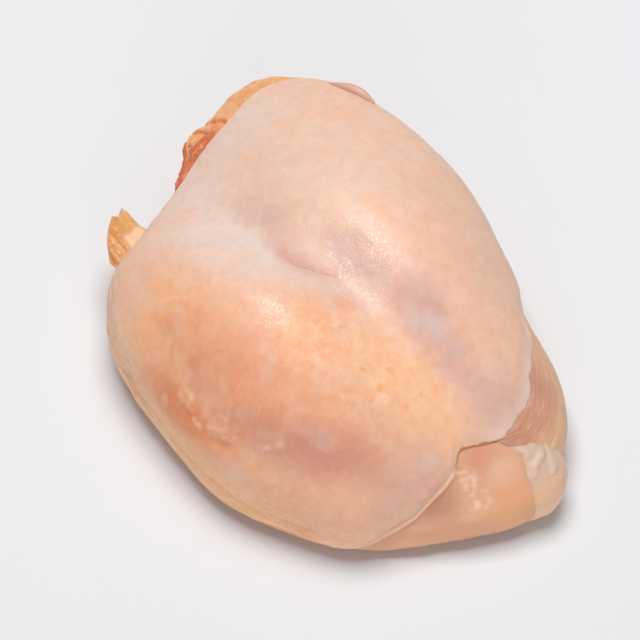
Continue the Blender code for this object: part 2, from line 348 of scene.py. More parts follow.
tones = {
    # skin
    "peach": (0.835, 0.53, 0.39),
    "blush": (0.79, 0.56, 0.44),
    "apricot": (0.905, 0.48, 0.285),
    "yellow": (0.985, 0.56, 0.335),
    "orange": (0.83, 0.45, 0.275),
    "paleOrange": (0.845, 0.465, 0.295),
    "deepOrange": (0.93, 0.475, 0.25),
    "salmon": (0.82, 0.355, 0.20),
    "brick": (0.775, 0.28, 0.12),
    "rust": (0.88, 0.38, 0.18),
    "rose": (0.665, 0.303, 0.216),
    "dusk": (0.665, 0.40, 0.33),
    "wetPink": (0.77, 0.52, 0.44),
    "mauve": (0.69, 0.465, 0.40),
    "coolMauve": (0.69, 0.465, 0.435),
    "palePlum": (0.66, 0.485, 0.455),
    "tailMauve": (0.71, 0.47, 0.40),
    "hipMauve": (0.755, 0.455, 0.345),
    "paleMauve": (0.72, 0.435, 0.345),
    "lilac": (0.765, 0.59, 0.525),
    "film": (0.775, 0.625, 0.56),
    "thinFilm": (0.88, 0.68, 0.60),
    "cream": (1.0, 0.545, 0.275),
    "warmCream": (1.0, 0.61, 0.35),
    "wisp": (0.95, 0.64, 0.47),
    "creaseRedAndShade": (0.66, 0.29, 0.19),
    "flankHem": (0.99, 0.52, 0.26),
    "hem": (0.97, 0.51, 0.26),
    "hemGrooveShade": (0.70, 0.32, 0.14),
    "hemRollHighlight": (1.0, 0.68, 0.44),
    "tucked": (0.96, 0.36, 0.15),
    "rim": (1.0, 0.55, 0.35),
    "tear": (0.85, 0.28, 0.12),
    "redBit": (0.50, 0.16, 0.07),
    # flesh
    "flesh": (0.67, 0.325, 0.215),
    "tanFlesh": (0.84, 0.49, 0.29),
    "deepFlesh": (0.60, 0.26, 0.17),
    "lowFlesh": (0.90, 0.36, 0.17),
    "redFlesh": (0.60, 0.12, 0.05),
    "brightFlesh": (0.78, 0.25, 0.11),
    "flap": (0.76, 0.41, 0.25),
    "flapShade": (0.58, 0.26, 0.16),
    "flapRed": (0.72, 0.33, 0.22),
    "flapPink": (0.86, 0.54, 0.39),
    "flapRose": (0.74, 0.38, 0.23),
    "flapOrange": (0.88, 0.45, 0.22),
    "flapTan": (0.80, 0.40, 0.235),
    "flapFilm": (0.90, 0.66, 0.54),
    "lipPaintedShade": (0.64, 0.27, 0.17),
    "lipThread": (0.95, 0.58, 0.40),
    "underTearRedAndShade": (0.50, 0.13, 0.06),
    # fat
    "fatOrange": (0.90, 0.42, 0.165),
    "fatTan": (0.84, 0.42, 0.18),
    "fatOchre": (0.78, 0.33, 0.10),
    "fatBrown": (0.66, 0.25, 0.045),
    "fatCream": (0.79, 0.50, 0.325),
    "fatGrey": (0.69, 0.51, 0.42),
    "fatPeach": (0.93, 0.60, 0.40),
    "betweenFat": (0.64, 0.105, 0.02),
    "tabFat": (0.74, 0.38, 0.14),
    "tabRoll": (0.90, 0.58, 0.38),
}


def lay(colour, over, share):
    # a share of another tone laid over a colour
    return colour.lerp(Vector(tones[over]), share)


def patchShare(point, place, halfWidths, turn):
    # how much of a soft-edged patch lies at a point, from 0 to 1; the turn is in degrees
    away = point - Vector(place)
    if max(abs(away.x), abs(away.y), abs(away.z)) > 1.3 * max(halfWidths):
        return 0.0
    c, s = math.cos(math.radians(turn)), math.sin(math.radians(turn))
    across = Vector((away.x * c + away.y * s, away.y * c - away.x * s, away.z))
    reach = Vector([a / w for a, w in zip(across, halfWidths)]).length
    return ramp(reach, 1.25, 0.15)


def paintPatches(point, colour, patches):
    # lays patches over each other, each (middle, half widths, turn, tone, strength)
    for place, halfWidths, turn, over, strength in patches:
        colour = lay(colour, over, strength * patchShare(point, place, halfWidths, turn))
    return colour


def coverPatches(point, cover, patches):
    # the same with a plain share, each (middle, half widths, turn, strength)
    for place, halfWidths, turn, strength in patches:
        cover += (1 - cover) * strength * patchShare(point, place, halfWidths, turn)
    return cover


print("skin")
skin = {
    "grid": 268,
    "lowest": 1.5,  # it stays this far above the table
    # how far down over the body the skin reaches, by degrees round the heart
    "reach": (
        (0, 0.61),
        (5, 0.602),
        (10, 0.60),
        (20, 0.61),
        (31, 0.68),
        (40, 0.765),
        (52, 0.93),
        (80, 1.12),
        (122, 1.08),
        (136, 0.92),
        (142, 0.79),  # the neck end, where the fat shows beyond it
        (150, 0.71),
        (160, 0.66),
        (170, 0.72),
        (176, 0.76),
        (184, 0.82),
        (194, 0.92),
        (215, 1.08),
        (300, 1.14),
        (320, 1.0),
        (326, 0.965),
        (331, 0.92),
        (336, 0.83),
        (340, 0.775),
        (344, 0.708),  # the corner of the lip over the flap
        (347, 0.635),
        (350, 0.62),
        (355, 0.622),
    ),
    # the sharp crease between the lobes, from the neck towards the tail
    "crease": ((-46, -4), (-36, -8), (-27, -9.8), (-21, -9.3), (-14.8, -6.2), (-8, -2.2), (-1, -0.5)),
    "creaseDepth": ((0, 0), (0.2, 0.4), (0.4, 0.9), (0.62, 0.75), (0.82, 0.2), (1, 0)),
    "creaseHalfWidth": 2.0,
    # pale wisps of puckered fat on the near flank, each a path of (x, z) and its half width
    "wisps": (
        (((-27, 33.6), (-23, 33.2), (-19, 32.7), (-16.5, 32.7)), 1.0),
        (((-25, 35.2), (-21.5, 35.4), (-19, 34.3)), 0.9),
        (((-17.5, 30.1), (-14.7, 30.5), (-11.3, 30.2)), 1.0),
        (((-11.5, 32.1), (-8, 33.1), (-5, 34.2), (-3, 36)), 0.9),
        (((-10, 36.2), (-6.5, 36.7), (-3.5, 37.8)), 1.0),
        (((-5, 32.4), (-1, 33.3), (1, 35.4)), 0.7),
        (((9, 35.3), (12.7, 36.9), (15, 38.7)), 0.9),
    ),
    "hollows": (
        (((-25, 30), (-20, 30.6), (-15, 28.6)), 1.6),
        (((-9.5, 28.8), (-3.5, 30.3), (1, 31.5)), 1.3),
    ),
    # where the follicles show, and where it is wet: middle, half widths, turn and strength
    "spotted": (
        ((16, -24, 48), (40, 22, 30), 20, 1.0),
        ((-40, -40, 48), (24, 16, 20), 0, 0.5),
    ),
    "spottedElsewhere": 0.15,
    "glossy": (
        ((-3, -7, 55), (15, 6, 12), 22, 1.0),
        ((-13.5, -27, 54), (12, 11, 14), 0, 1.0),
        ((-11, 7, 58), (17, 13, 12), 10, 0.9),
        ((14, -18, 52), (20, 12, 14), 20, 0.5),
    ),
    "glossyElsewhere": 0.12,
    "lump": 0.35,  # height of its slow waves, and of its small ones
    "ripple": 0.10,
}
skinReach = smoothCurve(skin["reach"], 360)
creaseDepth = smoothCurve(skin["creaseDepth"])
quarterArc = 90.0  # millimetres over the skin from the crown to the widest line, more or less
degreeArc = 1.4  # and for each degree round the widest line


def overSkin(around, down, stretch=1.0):
    # a place on the breast as flat millimetres over the skin
    return Vector((around * degreeArc * stretch, down * quarterArc, 0))


def fromTail(around):
    # degrees from the tail end, below 0 on the near side
    return (around + 180) % 360 - 180


def hemWander(point, down):
    # how far down a place is for the hem, which wanders a little
    return down + 0.010 * uneven(point, 14, 5) + 0.004 * uneven(point, 4, 6)


def wispShare(point, wisps):
    # how much of a wisp or hollow lies at a place on the near flank
    share = 0
    if point.y > -48 or abs(point.x + 6) > 26 or point.z < 22:
        return share
    for path, halfWidth in wisps:
        away, along = nearPath(point.x, point.z, path)
        share = max(share, hump(away, halfWidth) * ramp(along, 0, 0.15) * ramp(along, 1, 0.8))
    return share


def skinRelief(point, around, down, fromEdge):
    # how far the skin stands out from the plain body, in millimetres
    lift = skin["lump"] * (uneven(point, 24) - 0.6) + 0.16 * uneven(point, 11, 1)
    lift += skin["ripple"] * uneven(point, 4.5, 2)
    distance, along = nearPath(point.x, point.y, skin["crease"])
    if abs(distance) < 10:
        lift -= creaseDepth(along) * hump(distance, skin["creaseHalfWidth"])
    # stretch wrinkles over the near shoulder
    wrinkled = ramp(around, 208, 220) * ramp(around, 252, 238) * ramp(down, 0.74, 0.86)
    if wrinkled > 0:
        lift += 0.28 * wrinkled * uneven(Vector((around * 1.3 / 9, down * quarterArc / 1.7, 0)), 1, 3)
    # fat puckers under the near flank
    puckered = hump(point.x + 12, 20) * hump(down - 0.72, 0.12)
    puckered *= ramp(around, 240, 255) * ramp(around, 310, 290)
    lift += 0.3 * puckered * uneven(point, 5.5, 4)
    lift += 0.25 * wispShare(point, skin["wisps"]) - 0.5 * wispShare(point, skin["hollows"])
    # the hem along the near flank: a groove, then a rolled edge
    hemmed = ramp(around, 222, 240) * ramp(around, 322, 308)
    if hemmed > 0:
        wander = hemWander(point, down)
        lift += hemmed * (0.35 * hump(wander - 1.02, 0.02) - 0.3 * hump(wander - 0.985, 0.010))
        stretched = Vector((around / 9, down * quarterArc / 2.6, 0))
        lift += 0.16 * hemmed * ramp(down, 0.86, 0.93) * uneven(stretched, 1, 7)
    # the skin thins out towards its edge at the tail
    tail = ramp((around + 20) % 360, 14, 22) * ramp((around + 20) % 360, 84, 70)
    lift -= 1.15 * tail * ramp(fromEdge, 9, 0)
    torn = ramp(around, 316, 328) * ramp(around, 360, 354)
    return lift - 0.65 * torn * ramp(fromEdge, 6, 0)


def makeSkin(finish):
    shape = bmesh.new()
    bmesh.ops.create_grid(shape, x_segments=skin["grid"], y_segments=skin["grid"], size=1.0)
    grain = shape.verts.layers.float_vector.new("grain")
    edgeLayer = shape.verts.layers.float.new("fromEdge")
    spots = shape.verts.layers.float.new("spots")
    shine = shape.verts.layers.float.new("shine")
    for vertex in shape.verts:
        x, y = vertex.co.x, vertex.co.y
        across, along = y * math.sqrt(1 - x * x / 2), x * math.sqrt(1 - y * y / 2)
        around = math.degrees(math.atan2(across, along)) % 360
        reach = skinReach(around)
        down = math.hypot(across, along) * reach
        flank = ramp(around, 232, 246) * ramp(around, 306, 290)
        flank *= ramp(down, 0.4, 0.5) * ramp(down, 0.92, 0.82)
        hemTop = 0.86 - 0.08 * ramp(around, 252, 232)
        hem = ramp(around, 192, 206) * ramp(around, 326, 314) * ramp(down, hemTop, hemTop + 0.08)
        hem *= 1 - 0.45 * ramp(around, 236, 256)
        vertex[grain] = (around * degreeArc, down * quarterArc, flank - hem)
        vertex[edgeLayer] = (reach - down) * quarterArc
        vertex.co = bodyPoint(around, down, lowest=skin["lowest"])
    shape.normal_update()
    normals = [vertex.normal.copy() for vertex in shape.verts]
    for vertex, normal in zip(shape.verts, normals):
        alongEdge, downArc, _ = vertex[grain]
        around, down = alongEdge / degreeArc, downArc / quarterArc
        vertex[spots] = coverPatches(vertex.co, skin["spottedElsewhere"], skin["spotted"])
        vertex[shine] = coverPatches(vertex.co, skin["glossyElsewhere"], skin["glossy"])
        relief = skinRelief(vertex.co, around, down, vertex[edgeLayer])
        crinkles = 0.05 * uneven(vertex.co, 1.8, 30) + 0.06 * uneven(vertex.co, 3.2, 31)
        vertex.co += normal * (relief + crinkles * vertex[shine])
        vertex.co.z = max(vertex.co.z, skin["lowest"])
    rim = [edge for edge in shape.edges if edge.is_boundary]
    inside = Vector((*body["heart"], 20))
    for inwards, outwards in ((0.25, 0.1), (0.6, 0.0), (1.1, 0.0), (2.0, 0.0)):
        grown = bmesh.ops.extrude_edge_only(shape, edges=rim)["geom"]
        rim = [part for part in grown if isinstance(part, bmesh.types.BMEdge)]
        for vertex in [part for part in grown if isinstance(part, bmesh.types.BMVert)]:
            away = vertex.co - Vector((*body["heart"], vertex.co.z))
            vertex.co += (inside - vertex.co).normalized() * inwards + away.normalized() * outwards
    bmesh.ops.holes_fill(shape, edges=[edge for edge in shape.edges if edge.is_boundary], sides=0)
    bmesh.ops.triangulate(shape, faces=[face for face in shape.faces if len(face.verts) > 4])
    bmesh.ops.recalc_face_normals(shape, faces=shape.faces[:])

    # where each colour lies: middle, half widths, turn and strength
    patches = (
        ((0, -48, 40), (80, 36, 45), 0, "orange", 1.0),  # near lobe
        ((-84, 18, 42), (26, 34, 26), 0, "lilac", 0.8),  # neck end
        ((-42, -17, 53), (40, 19, 24), 6, "film", 1.0),  # near shoulder, stretched thin
        ((-70, -6, 40), (18, 14, 16), 0, "lilac", 0.9),
        ((-42, 20, 58), (36, 26, 22), 0, "blush", 0.9),  # far lobe
        ((-45, -3, 51), (22, 7, 14), -6, "mauve", 0.9),  # along the cleft
        ((-24, -9, 54), (16, 6, 9), -5, "mauve", 0.9),
        ((-9, 3, 57), (16, 9, 12), 8, "coolMauve", 0.85),
        ((17, 7, 53), (20, 10, 12), 0, "dusk", 0.9),
        ((32, 2, 45), (24, 9, 14), 0, "paleMauve", 1.0),
        ((54, 5, 34), (14, 14, 14), 0, "paleMauve", 0.9),
        ((28, -16, 47), (40, 13, 22), 6, "yellow", 1.0),  # crest of the near lobe
        ((0, -27, 57), (22, 13, 14), 0, "apricot", 0.9),
        ((-44, -50, 42), (26, 17, 22), 0, "deepOrange", 0.9),  # near shoulder and flank
        ((-62, -44, 38), (14, 14, 14), 0, "peach", 0.6),
        ((-6, -52, 48), (40, 16, 17), 0, "salmon", 0.85),
        ((24, -49, 38), (34, 11, 13), 24, "rose", 1.0),
        ((-22, -64, 30), (28, 10, 12), 0, "brick", 1.0),
        ((-14, -69, 12), (50, 10, 12), 0, "cream", 0.9),  # towards the hem
        ((28, -61, 19), (24, 9, 9), 15, "paleOrange", 0.9),
        ((-58, -55, 18), (20, 14, 16), 0, "warmCream", 0.95),
        ((-38, -64, 18), (18, 8, 7), 20, "flankHem", 0.7),
        ((50, -32, 27), (13, 20, 12), 0, "hipMauve", 0.9),  # beside the flap
        ((-2, -8, 54), (15, 5, 10), 24, "wetPink", 0.7),  # thin and shiny just below the crease
        ((26, 5, 49), (15, 6, 9), 10, "palePlum", 0.7),
        ((50, 4, 35), (12, 8, 9), 0, "tailMauve", 0.6),
        ((-1, -10.5, 53), (5, 4, 6), 30, "rust", 0.6),
        ((49, -16, 33), (8, 6, 8), 0, "yellow", 0.5),
        ((-40, -50.5, 45), (9, 6, 7), 0, "salmon", 0.6),
        ((-32, -46, 52), (5, 5, 6), 0, "salmon", 0.5),
        ((27, -62, 8), (9, 6, 6), 0, "redBit", 0.8),  # a red bit at the hem
    )

    def paint(vertex):
        point = vertex.co
        alongEdge, downArc, _ = vertex[grain]
        around, down = alongEdge / degreeArc, downArc / quarterArc
        colour = paintPatches(point, Vector(tones["peach"]), patches)
        # blotches, redder in some places and paler in others
        colour = lay(colour, "deepOrange", 0.22 * ramp(uneven(point, 9, 11), 0.1, 0.9))
        colour = lay(colour, "film", 0.2 * ramp(uneven(point, 7, 12), 0.1, 0.9))
        colour = colour * (1.01 + 0.03 * uneven(point, 2.5, 13))
        # the crease is redder, and two dark red lines along its walls are painted shade in the fold
        away, along = nearPath(point.x, point.y, skin["crease"])
        reddened = ramp(along, 0.1, 0.35) * ramp(along, 0.95, 0.75)
        colour = lay(colour, "dusk", 0.4 * hump(away - 2, 4) * reddened)
        lines = hump(away + 0.9, 0.55) + 0.8 * hump(away - 0.9, 0.55)
        colour = lay(colour, "creaseRedAndShade", 0.6 * lines * reddened)
        # a pale film where the skin thins out over the tail
        turned = (around + 20) % 360
        tail = ramp(turned, 12, 18) * ramp(turned, 84, 66)
        fromEdge = vertex[edgeLayer]
        colour = lay(colour, "thinFilm", 0.6 * tail * ramp(fromEdge, 8, 1.5))
        # blotches and wisps of the near flank
        flank = ramp(around, 236, 250) * ramp(around, 312, 296)
        flank *= ramp(down, 0.5, 0.62) * ramp(down, 0.93, 0.84)
        if flank > 0:
            streaky = Vector((point.x / 5, down * quarterArc / 9, 3))
            colour = lay(colour, "brick", 0.4 * flank * ramp(uneven(streaky, 1, 14), 0.15, 0.9))
            colour = lay(colour, "wisp", 0.3 * flank * ramp(uneven(streaky, 1, 15), 0.3, 0.9))
            # painted shade in the hollows below the wisps
            colour = lay(colour, "brick", 0.5 * wispShare(point, skin["hollows"]))
            broken = 0.5 + 0.5 * uneven(point, 1.8, 26)
            colour = lay(colour, "wisp", 0.7 * broken * wispShare(point, skin["wisps"]))
        # stretch lines over the near shoulder
        wrinkled = ramp(around, 206, 218) * ramp(around, 250, 236) * ramp(down, 0.76, 0.88)
        if wrinkled > 0:
            lines = uneven(Vector((around / 9, down * quarterArc / 1.9, 0)), 1, 3)
            colour = lay(colour, "wisp", 0.6 * wrinkled * ramp(lines, 0.0, 0.7))
            colour = lay(colour, "brick", 0.4 * wrinkled * ramp(lines, -0.1, -0.7))
        # the hem: an orange band, with a painted highlight along the rolled edge at the rim and painted
        # shade in the groove above it
        hemmed = ramp(around, 206, 224) * ramp(around, 322, 308)
        if hemmed > 0:
            wander = hemWander(point, down)
            colour = lay(colour, "hem", 0.6 * hemmed * ramp(wander, 0.93, 0.98))
            patchy = 0.6 + 0.4 * uneven(point, 6, 27)
            colour = lay(colour, "hemGrooveShade", 0.6 * patchy * hemmed * hump(wander - 0.985, 0.007))
            colour = lay(colour, "hemRollHighlight", 0.6 * hemmed * hump(wander - 1.02, 0.012))
        # redder where it tucks under, with a warm light rim all round, partly the cut edge's own colour
        # and partly painted light over the rim's shaded wall, and a dark red tear over the flap
        colour = lay(colour, "tucked", 0.8 * ramp(down, 1.03, 1.08) * ramp(point.z, 16, 8))
        rimmed = ramp(fromEdge, 1.6, 0.3)
        colour = lay(colour, "rim", 0.85 * rimmed)
        torn = ramp(around, 344, 347) * ramp(around, 359, 356)
        colour = lay(colour, "tear", 0.85 * torn * ramp(fromEdge, 0.9, 0.1))
        return colour

    return finishedPiece("skin", shape, finish, paint)


def skinFinish():
    finish = Finish("skinFinish")
    grain = finish.node("Attribute", {"attribute_name": "grain"}, output="Vector")
    # mottling, a little darker and redder here and paler there
    mottle = finish.between(finish.speckle(5.5, 5, 0.68, distortion=0.8), 0.3, 0.7)
    shade = finish.mix((0.98, 0.95, 0.94, 1), (1.02, 1.045, 1.055, 1), mottle)
    tone = finish.mix(finish.tone(), shade, 1.0, "MULTIPLY")
    # follicles: soft ochre dots in clusters, mostly along the crest of the near lobe
    spots = finish.node("Attribute", {"attribute_name": "spots"}, output="Fac")
    shine = finish.node("Attribute", {"attribute_name": "shine"}, output="Fac")
    cells = {"Vector": finish.place, "Scale": 1 / 5.5, "Randomness": 1.0}
    dots = finish.between(finish.node("TexVoronoi", sockets=cells), 0.32, 0.06)
    dots = dots * finish.between(finish.speckle(11, 1), 0.38, 0.52)
    tone = finish.mix(tone, (1.0, 0.76, 0.48, 1), dots * spots * 0.9, "MULTIPLY")
    patchy = finish.between(finish.speckle(4, 2, 0.55), 0.46, 0.62)
    tone = finish.mix(tone, (1.0, 0.88, 0.76, 1), patchy * spots * 0.8, "MULTIPLY")
    patchy = finish.between(finish.speckle(3.4, 2, 0.5), 0.50, 0.75)
    tone = finish.mix(tone, (1.0, 0.72, 0.48, 1), patchy * spots * 0.3)
    # fine streaks up the near flank, and wrinkles along the hem
    side = finish.node("SeparateXYZ", sockets={0: grain}, output=2)
    streaks = finish.between(finish.speckle(1, 3, 0.6, finish.grain(0.9, 14)), 0.5, 0.8)
    tone = finish.mix(tone, (0.97, 0.68, 0.52, 1), streaks * finish.between(side, 0, 1) * 0.2)
    hem = finish.between(side, 0, -1)
    wrinkles = finish.speckle(1, 4, 0.7, finish.grain(5, 0.7), distortion=1.2)
    # darker in the wrinkles' troughs and paler on their crests: partly their own brown lines and pale
    # skin, partly painted shade and painted highlight
    tone = finish.mix(tone, (0.72, 0.34, 0.16, 1), finish.between(wrinkles, 0.45, 0.35) * hem * 0.8)
    tone = finish.mix(tone, (1.0, 0.76, 0.57, 1), finish.between(wrinkles, 0.50, 0.62) * hem * 0.7)
    # tight little bumps, which break the gloss into specks
    creases = finish.speckle(2.6, 4, 0.6)
    grainy = finish.speckle(0.8, 2, 0.5)
    normal = finish.bump(creases, 0.0002, 0.7)
    normal = finish.bump(wrinkles, 0.0004, hem * 0.9, normal)
    normal = finish.bump(grainy, 0.0001, 0.6 + shine * 0.8, normal)
    specks = finish.between(finish.speckle(0.8, 2, 0.7), 0.50, 0.60)
    specks = specks * finish.between(finish.speckle(6, 3, 0.6), 0.36, 0.56) * shine
    # pale specks laid into the base colour are painted highlights, where the coat glints
    tone = finish.mix(tone, (1.0, 0.88, 0.82, 1), specks * 0.3)
    rough = finish.between(creases, 0.35, 0.65, 0.50, 0.60) - shine * 0.24
    finish.set(Base_Color=tone, Roughness=rough, Normal=normal)
    finish.set(Subsurface_Weight=0.55, Subsurface_Radius=(1.0, 0.5, 0.35), Subsurface_Scale=0.002)
    finish.set(Specular_IOR_Level=0.4, Coat_Weight=specks, Coat_Roughness=0.12)
    return finish.material


makeSkin(skinFinish())

print("muscle")
muscle = {"cuts": 88, "bundle": 0.22}


def makeMuscle(finish):
    shape = roundBall(muscle["cuts"])
    grain = shape.verts.layers.float_vector.new("grain")
    for vertex in shape.verts:
        around = math.degrees(math.atan2(vertex.co.y, vertex.co.x))
        down = 1 - math.asin(max(-1, min(1, vertex.co.z))) / (math.pi / 2)
        vertex[grain] = (around * degreeArc, down * quarterArc, 0)
        bundles = uneven(Vector((around * degreeArc / 20, down * quarterArc / 2.2, 0)), 1, 1)
        fading = ramp(down, 1.7, 1.2)
        inset = body["skinThickness"] + muscle["bundle"] * fading * bundles
        vertex.co = bodyPoint(around, down, inset)

    def paint(vertex):
        # tan along the outer side of the tail, pinker next to the skin and redder by the flap
        point = vertex.co
        colour = lay(Vector(tones["flesh"]), "tanFlesh", ramp(point.z, 26, 19))
        colour = lay(colour, "tanFlesh", 0.8 * ramp(point.y, 22, 30))
        colour = colour * (1 + 0.05 * uneven(point, 7, 16))
        colour = lay(colour, "deepFlesh", 0.7 * ramp(point.y, 10, 3) * ramp(point.z, 12, 18))
        return lay(colour, "lowFlesh", 0.7 * ramp(point.z, 7, 3))

    return finishedPiece("muscle", shape, finish, paint)


def fleshFinish(name, clear=1.0):
    # clear is how clearly the fibres show
    finish = Finish(name)
    fibres = finish.speckle(1, 3, 0.6, finish.grain(14, 0.8), distortion=0.4)
    fine = finish.speckle(1, 2, 0.6, finish.grain(7, 0.35), distortion=0.3)
    light = finish.between(fibres, 0.52, 0.70) * 0.4 * clear
    tone = finish.mix(finish.tone(), (0.98, 0.66, 0.42, 1), light)
    tone = finish.mix(tone, (1.0, 0.80, 0.58, 1), finish.between(fine, 0.54, 0.70) * 0.5 * clear)
    tone = finish.mix(tone, (0.60, 0.27, 0.17, 1), finish.between(fine, 0.47, 0.32) * 0.4 * clear)
    normal = finish.bump(fibres, 0.0003 * clear, 0.8)
    normal = finish.bump(fine, 0.00012 * clear, 0.8, normal)
    finish.set(Base_Color=tone, Roughness=0.42, Normal=normal)
    finish.set(Subsurface_Weight=0.5, Subsurface_Radius=(1.0, 0.4, 0.25), Subsurface_Scale=0.002)
    wet = finish.between(finish.speckle(1.6, 3, 0.7), 0.54, 0.66)
    finish.set(Coat_Weight=wet * 0.6, Coat_Roughness=0.12)
    return finish.material


flesh = fleshFinish("fleshFinish")
makeMuscle(flesh)

print("trimmings")


def makeStrip(name, finish, measures, paint):
    # a strip of flesh or fat along a spine, rounded at both ends
    spine = measures["spine"]
    last = len(spine) - 1
    paths = [smoothCurve([(i / last, place[axis]) for i, place in enumerate(spine)]) for axis in range(3)]
    widths = smoothCurve([(i / last, wide) for i, wide in enumerate(measures["halfWidths"])])
    depths = smoothCurve([(i / last, deep) for i, deep in enumerate(measures["halfDepths"])])
    roundness = measures["roundness"]
    length = sum((Vector(spine[i + 1]) - Vector(spine[i])).length for i in range(last))
    shape = roundBall(measures["cuts"])
    grain = shape.verts.layers.float_vector.new("grain")
    for vertex in shape.verts:
        along = math.copysign(abs(vertex.co.x) ** (2 / roundness), vertex.co.x)
        share = max(1 - vertex.co.x**2, 0) ** (1 / roundness)
        t = (along + 1) / 2
        place = Vector([path(t) for path in paths])
        ahead = Vector([path(min(t + 0.05, 1)) - path(max(t - 0.05, 0)) for path in paths]).normalized()
        side = Vector((-ahead.y, ahead.x, 0)).normalized()
        over = ahead.cross(side)
        ring = math.hypot(vertex.co.y, vertex.co.z) or 1.0
        wide, deep = widths(t), depths(t)
        angle = math.atan2(vertex.co.z, vertex.co.y)
        vertex[grain] = (t * length, angle * (wide + deep) / 2, 0)
        sideways, upwards = share * vertex.co.y / ring, share * vertex.co.z / ring
        vertex.co = place + side * wide * sideways + over * deep * upwards
    bmesh.ops.recalc_face_normals(shape, faces=shape.faces[:])
    return finishedPiece(name, shape, finish, paint)


def makeCap(name, finish, measures, paint, lift):
    # a cap grown onto the body, whose outer face stands out from the plain body by lift(around, down)
    shape = roundBall(measures["cuts"])
    grain = shape.verts.layers.float_vector.new("grain")
    for vertex in shape.verts:
        spread = math.acos(min(abs(vertex.co.z), 1)) / (math.pi / 2)
        ring = math.hypot(vertex.co.x, vertex.co.y) or 1.0
        around = measures["middle"][0] + measures["halfSpan"][0] * spread * vertex.co.x / ring
        down = measures["middle"][1] + measures["halfSpan"][1] * spread * vertex.co.y / ring
        outer = ramp(vertex.co.z, -0.04, 0.04)
        vertex[grain] = (around * degreeArc, down * quarterArc, 0)
        inset = measures["depth"] * (1 - outer) - lift(around, down) * outer
        vertex.co = bodyPoint(around, down, inset)
    bmesh.ops.recalc_face_normals(shape, faces=shape.faces[:])

    def paintVertex(vertex):
        return paint(vertex.co, vertex[grain][0] / degreeArc, vertex[grain][1] / quarterArc)

    return finishedPiece(name, shape, finish, paintVertex)


def plain(tone):
    return lambda vertex: Vector(tones[tone])


def fatFinish(name, rough=1.0):
    # rough is how grainy it is
    finish = Finish(name)
    grains = finish.speckle(1.8, 4, 0.7)
    light = finish.between(grains, 0.52, 0.68) * rough * 0.5
    dark = finish.between(grains, 0.46, 0.32) * rough * 0.45
    tone = finish.mix(finish.tone(), (0.95, 0.68, 0.44, 1), light)
    tone = finish.mix(tone, (0.60, 0.24, 0.08, 1), dark)
    normal = finish.bump(grains, 0.0005 * rough, 0.8)
    finish.set(Base_Color=tone, Roughness=0.42, Normal=normal)
    finish.set(Subsurface_Weight=0.5, Subsurface_Radius=(1.0, 0.5, 0.3), Subsurface_Scale=0.002)
    wet = finish.between(finish.speckle(1.4, 3, 0.7), 0.54, 0.66)
    finish.set(Coat_Weight=wet * 0.5, Coat_Roughness=0.15)
    return finish.material


fat = fatFinish("fatFinish")

# the flap of flesh folded against the tail, on the near side
tailFlap = {
    "cuts": 76,
    "middle": (343, 1.08),  # degrees round the heart and how far down
    "halfSpan": (32, 0.62),
    "depth": 7,  # how far it reaches into the muscle
    "start": -0.9,  # how far out its face starts, under the skin's edge
    "bulge": (
        (311, -2.5),
        (320, -0.5),
        (328, 2.5),
        (337, 4.5),
        (344, 6.8),
        (351, 8.6),
        (357, 8.0),
        (361, 5.2),
        (365, 2.0),
        (369, -1.0),
        (373, -2.5),
    ),
    "tailEdge": ((0.55, -4), (0.65, -0.5), (0.72, 4.5), (0.95, 8), (1.2, 9)),  # where it ends on the tail
}
flapBulge = smoothCurve(tailFlap["bulge"])
flapTailEdge = smoothCurve(tailFlap["tailEdge"])


def flapLift(around, down):
    edge = skinReach(around)
    rise = ramp(down, edge + 0.01, max(1.06, edge + 0.14))
    lift = tailFlap["start"] + (flapBulge(around) - tailFlap["start"]) * rise
    # a groove under the tear, and lower still under the skin
    fromEdge = (down - edge) * quarterArc
    tear = ramp(around, 343, 347) * ramp(around, 360, 356)
    lift -= 0.5 * tear * hump(fromEdge - 0.8, 0.8) + 1.1 * ramp(down, edge, edge - 0.02)
    lift += 0.35 * (1 - tear) * ramp(down, edge + 0.1, edge)
    point = overSkin(around, down)
    # a raised thread along the rest of the lip
    thread = (0.35 + 0.2 * uneven(point, 5, 10)) * hump(fromEdge - 0.7, 0.7)
    lift += thread * ramp(around, 346, 342)
    lift += 0.35 * uneven(point, 11, 1) * ramp(down, edge, edge + 0.15)
    lift += 0.12 * uneven(point, 3.5, 2)
    pastEdge = fromTail(around) - flapTailEdge(down)
    return -3 + (lift + 3) * ramp(pastEdge, 1.0, -3.5)


